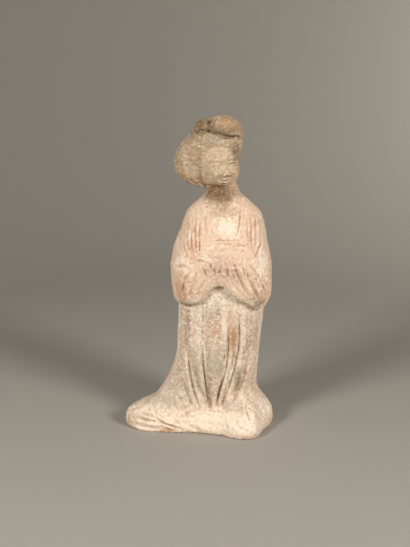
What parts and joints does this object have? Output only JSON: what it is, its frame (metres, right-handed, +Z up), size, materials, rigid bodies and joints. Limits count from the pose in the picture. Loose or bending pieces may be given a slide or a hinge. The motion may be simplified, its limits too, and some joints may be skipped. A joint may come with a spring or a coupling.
{
  "type": "tang tomb attendant figure",
  "caption": "Moulded earthenware court lady with hands hidden in joined sleeves, a pleated gown with a trailing hem, side-swept hair and a topknot; it stands on its flat underside.",
  "frame": {"origin": "on the ground, under the upright axis of the body", "axes": "+Z up, +X towards the beholder's right, front of the figure towards -Y"},
  "size_m": [0.1649, 0.1068, 0.34],
  "materials": {
    "earthenware": "matt unglazed fired clay with worn cream slip and traces of pink pigment"
  },
  "bodies": {
    "root": {"attendant_figure": "earthenware"}
  },
  "joints": []
}
